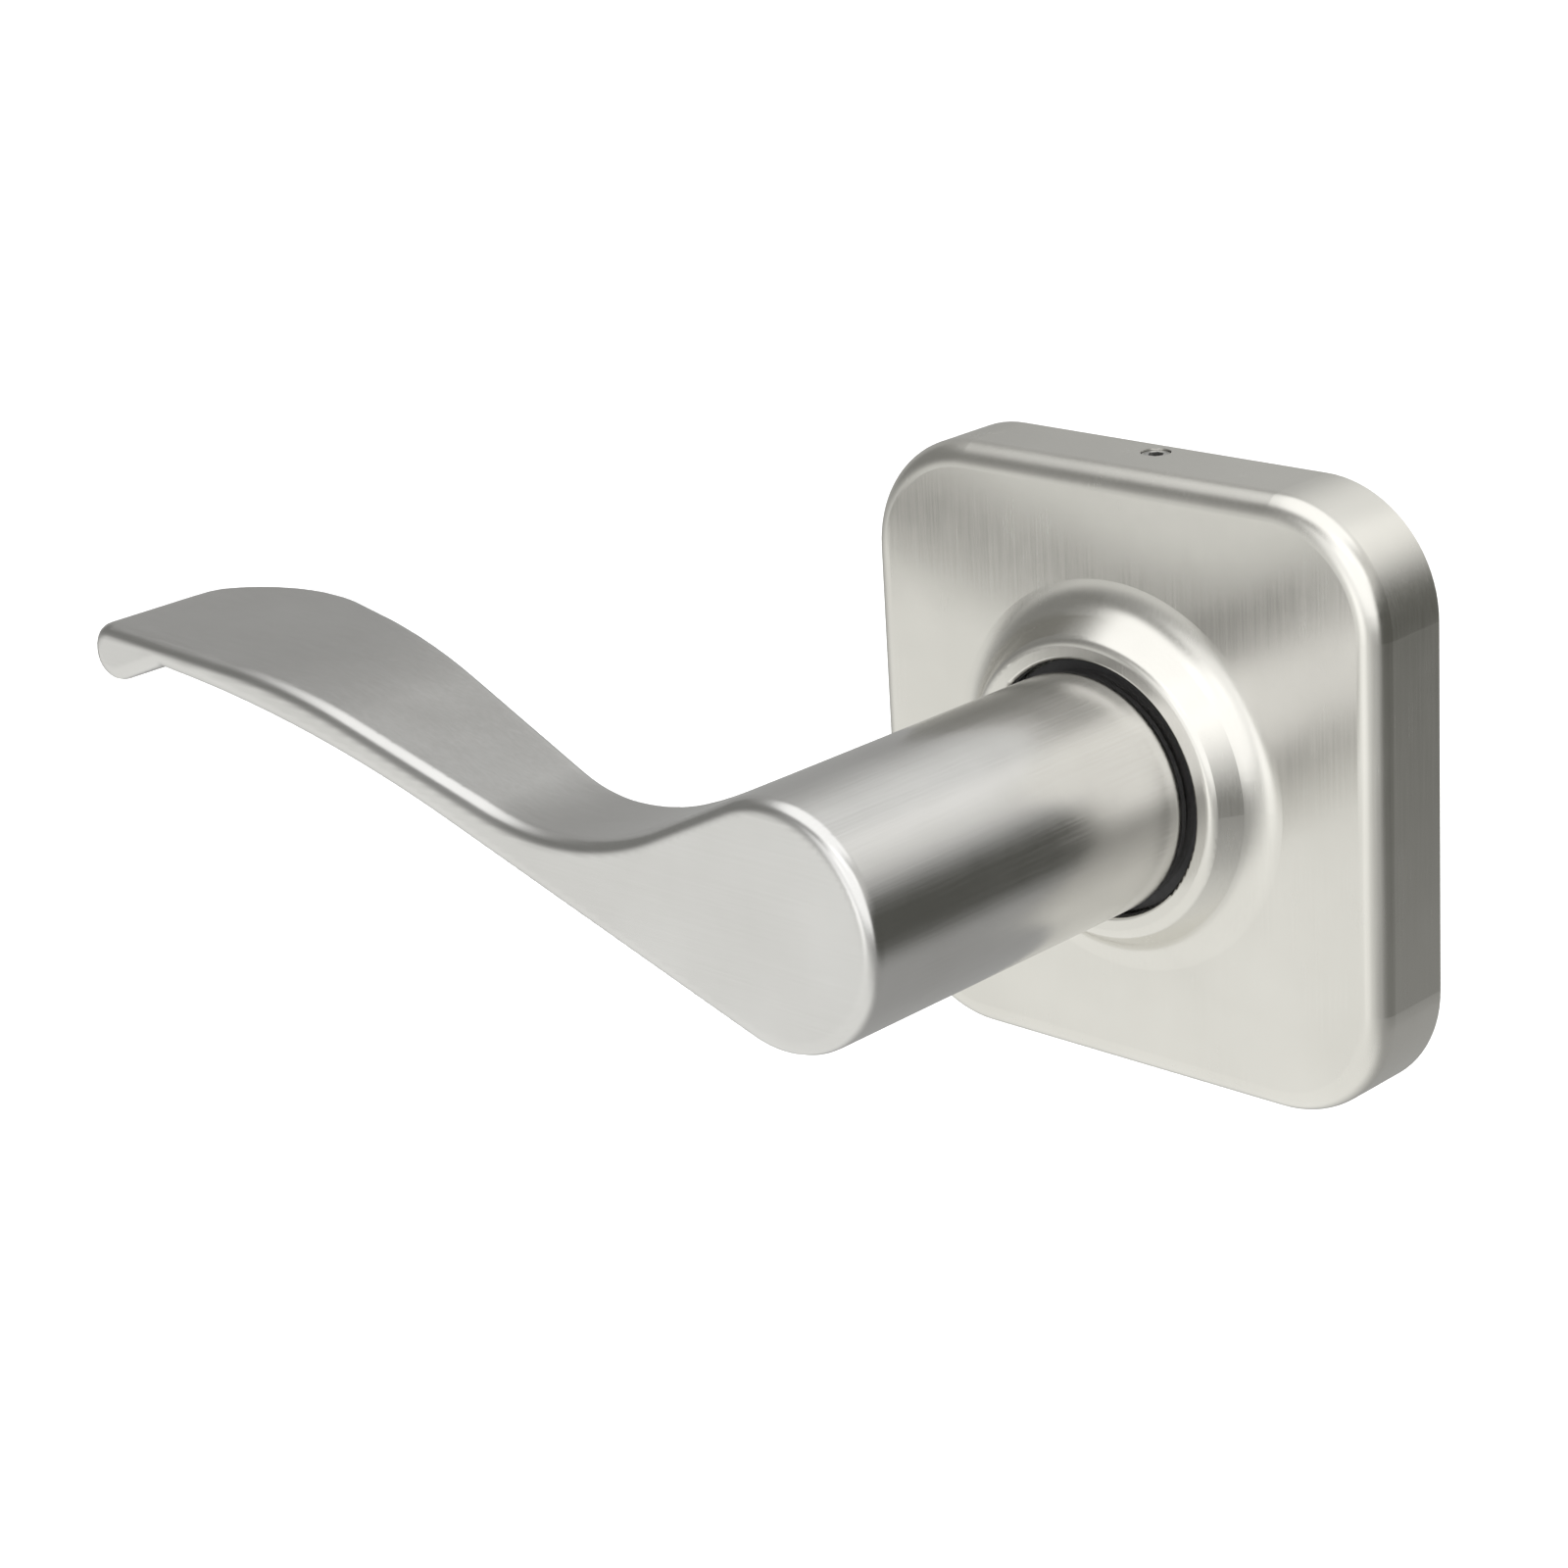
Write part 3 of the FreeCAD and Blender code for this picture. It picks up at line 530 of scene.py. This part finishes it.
def slope(distance, points, step=0.02):
    """Outward direction at points on a surface."""
    parts = []
    for axis in range(3):
        shift = np.zeros(3)
        shift[axis] = step
        parts.append(distance(*(points + shift).T) - distance(*(points - shift).T))
    parts = np.stack(parts, -1)
    return parts / np.maximum(np.linalg.norm(parts, axis=1), 1e-12)[:, None]


def modelled(name, distance, low, high, step):
    """A mesh object over a distance's surface, smooth-shaded with the surface's own normals."""
    points, quads = surface_net(distance, low, high, step)
    for _ in range(SETTLING_ROUNDS):
        points = points - slope(distance, points) * distance(*points.T)[:, None]
    normals = slope(distance, points)
    to_frame = np.array(((1, 0, 0), (0, 0, 1), (0, -1, 0)), float)
    places, directions = points @ to_frame * MM, normals @ to_frame
    mesh = bpy.data.meshes.new(name)
    mesh.vertices.add(len(places))
    mesh.vertices.foreach_set("co", places.astype(np.float32).ravel())
    mesh.loops.add(quads.size)
    mesh.loops.foreach_set("vertex_index", quads.astype(np.int32).ravel())
    mesh.polygons.add(len(quads))
    mesh.polygons.foreach_set("loop_start", np.arange(0, quads.size, 4, dtype=np.int32))
    mesh.update(calc_edges=True)
    mesh.validate()
    mesh.polygons.foreach_set("use_smooth", np.ones(len(mesh.polygons), bool))
    mesh.normals_split_custom_set_from_vertices([tuple(direction) for direction in directions])
    piece = bpy.data.objects.new(name, mesh)
    bpy.context.scene.collection.objects.link(piece)
    return piece


# ---------------------------------------------------------------- lever

NECK_RADIUS, NECK_LOW, NECK_SHOULDER, SHOULDER_ROUND, NECK_EDGE = 13, 14, 17, 4, 0.4
LEVER_FRONT, RIM_ROUND, BACK_ROUND, WEB_BLEND = 63, 1.6, 1.6, 5
BORE_RADIUS, BORE_END, BORE_CORNER, BORE_MOUTH = 9.05, 38, 0.5, 0.5
SCREW_RADIUS, SCREW_DEPTH, SCREW_MOUTH = 2.5, 26, 0.3
BESIDE, BEYOND, OUTSIDE_ROUND = 40, 90, 5
GRID_STEP, GRID_REACH = 0.55, 1.5
FRONT_VIEW = make_outline(
    (
        (0, 0, NECK_RADIUS, True),
        (-27.8, 0.9, 36, False),
        (-69.9, 12, 90, False),
        (-100.2, 10.2, 3.3, True),
        (-92.1, 9.9, 2, False),
        (-66.2, 7.6, 190, False),
    )
)
TOP_VIEW = make_outline(
    (
        (-4.8, 22, 1, False),
        (BESIDE, 22, OUTSIDE_ROUND, False),
        (BESIDE, BEYOND, OUTSIDE_ROUND, False),
        (-103.9, BEYOND, OUTSIDE_ROUND, False),
        (-103.9, 34.9, 16, False),
        (-33, 49.3, 60, False),
        (-14.5, 49.3, 13, False),
    )
)


def lever_distance(x, z, depth):
    """Distance to the lever's casting: neck, web and blade, less the bore and the screw hole."""
    radius = np.hypot(x, z)
    past_centre = np.maximum(radius - NECK_RADIUS + SHOULDER_ROUND, 0)
    shoulder = np.hypot(past_centre, np.minimum(depth - NECK_SHOULDER, 0))
    neck = both(shoulder - SHOULDER_ROUND, NECK_LOW - depth, NECK_EDGE)
    front_view = outline_distance(FRONT_VIEW, x, z)
    top_view = either(outline_distance(TOP_VIEW, x, depth), radius - NECK_RADIUS, WEB_BLEND)
    blade = both(front_view, top_view, BACK_ROUND)
    solid = both(np.minimum(neck, blade), depth - LEVER_FRONT, RIM_ROUND)
    bore = both(radius - BORE_RADIUS, depth - BORE_END, BORE_CORNER)
    solid = both(solid, -bore, BORE_MOUTH)
    screw_hole = np.maximum(np.hypot(x, depth - SCREW_DEPTH) - SCREW_RADIUS, z)
    return both(solid, -screw_hole, SCREW_MOUTH)


def make_lever():
    low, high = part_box("lever_handle")
    piece = modelled(
        "lever_handle_cast",
        lever_distance,
        (low.x / MM - GRID_REACH, low.z / MM - GRID_REACH, -high.y / MM - GRID_REACH),
        (high.x / MM + GRID_REACH, high.z / MM + GRID_REACH, -low.y / MM + GRID_REACH),
        GRID_STEP,
    )
    nickel = brushed_nickel(
        "lever_nickel",
        LEVER_TONES,
        LEVER_ROUGHNESS,
        LEVER_GRAIN,
        along_y_behind=NECK_SIDE,
    )
    piece.data.materials.append(nickel)
    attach(piece, MOVING)
    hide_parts("lever_handle")


# ---------------------------------------------------------------- return spring

COIL_RADIUS, COIL_WIRE, COIL_BEND = 12, 0.65, 1.0
COIL_LOW, COIL_HIGH, COIL_TURNS, COIL_START = 4.25, 7.25, 2.25, 90
COIL_STEPS, BEND_STEPS, WIRE_SIDES = 160, 8, 6


def make_return_spring(material):
    """Torsion spring: a coil that bends at each end into a straight leg along the axis."""
    low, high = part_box("return_spring")
    first, last = radians(COIL_START), radians(COIL_START + 360 * COIL_TURNS)
    bend_angle = COIL_BEND / COIL_RADIUS
    route = [(first, -high.y / MM)]
    for step in range(BEND_STEPS):
        turn = pi / 2 * step / BEND_STEPS
        route.append((first + bend_angle * (1 - cos(turn)), COIL_LOW - COIL_BEND * (1 - sin(turn))))
    for step in range(COIL_STEPS + 1):
        share = step / COIL_STEPS
        angle = first + bend_angle + (last - first - 2 * bend_angle) * share
        route.append((angle, COIL_LOW + (COIL_HIGH - COIL_LOW) * share))
    for step in range(BEND_STEPS - 1, -1, -1):
        turn = pi / 2 * step / BEND_STEPS
        route.append((last - bend_angle * (1 - cos(turn)), COIL_HIGH + COIL_BEND * (1 - sin(turn))))
    route.append((last, -low.y / MM))
    curve = bpy.data.curves.new("return_spring_wire", "CURVE")
    curve.dimensions = "3D"
    curve.bevel_depth = COIL_WIRE * MM
    curve.bevel_resolution = WIRE_SIDES
    curve.use_fill_caps = True
    spline = curve.splines.new("POLY")
    spline.points.add(len(route) - 1)
    for spot, (angle, depth) in zip(spline.points, route):
        place = (COIL_RADIUS * cos(angle), -depth, COIL_RADIUS * sin(angle))
        spot.co = (*[part * MM for part in place], 1)
    wire = bpy.data.objects.new("return_spring_wire", curve)
    bpy.context.scene.collection.objects.link(wire)
    bpy.context.view_layer.update()
    mesh = bpy.data.meshes.new_from_object(wire.evaluated_get(bpy.context.evaluated_depsgraph_get()))
    bpy.data.objects.remove(wire)
    mesh.polygons.foreach_set("use_smooth", np.ones(len(mesh.polygons), bool))
    mesh.materials.clear()
    mesh.materials.append(material)
    piece = bpy.data.objects.new("return_spring_coil", mesh)
    bpy.context.scene.collection.objects.link(piece)
    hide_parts("return_spring")
    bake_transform(piece)


# ---------------------------------------------------------------- the CAD nodes' finishes


def dress(material, *nodes):
    for name in nodes:
        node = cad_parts[name]
        node.data.materials.clear()
        node.data.materials.append(material)


make_camera()
make_world()
make_floor()
make_lever()

bright, dull = (0.62, 0.62, 0.62), (0.40, 0.40, 0.41)
turned_steel = machined_steel("turned_steel", bright, dull, 0.3, (500, 3000, 500))
drawn_steel = machined_steel("drawn_steel", bright, dull, 0.34, (3000, 150, 3000))
screw_steel = machined_steel("screw_steel", (0.7, 0.69, 0.66), (0.5, 0.5, 0.5), 0.28, (2500, 2500, 2500))
spring_steel = machined_steel("spring_steel", (0.16, 0.16, 0.17), (0.07, 0.07, 0.08), 0.36, (400, 3000, 400))
zinc = zinc_plate("zinc_plate")
acetal = black_acetal("black_acetal")
# The rose's nickel is painted lighter than the lever's, standing in for the brighter light on the rose face.
rose_nickel_painted_lighter = brushed_nickel("rose_nickel_painted_lighter", ROSE_TONES_PAINTED_LIGHTER, ROSE_ROUGHNESS, ROSE_GRAIN, upright=True)

dress(rose_nickel_painted_lighter, "rose_cover")
dress(zinc, "mounting_plate", "spring_housing", "drive_cam", "rear_washer")
dress(zinc, "fixing_post_left", "fixing_post_right")
dress(acetal, "front_bush", "rear_bush")
dress(turned_steel, "drive_hub", "spindle_pin")
dress(drawn_steel, "spindle")
dress(screw_steel, "rose_set_screw", "lever_set_screw")
dress(screw_steel, *[f"housing_screw_{number}" for number in range(1, 5)])
dress(spring_steel, "wave_washer", "retaining_ring")
make_return_spring(spring_steel)

bpy.context.scene.view_settings.view_transform = "Standard"
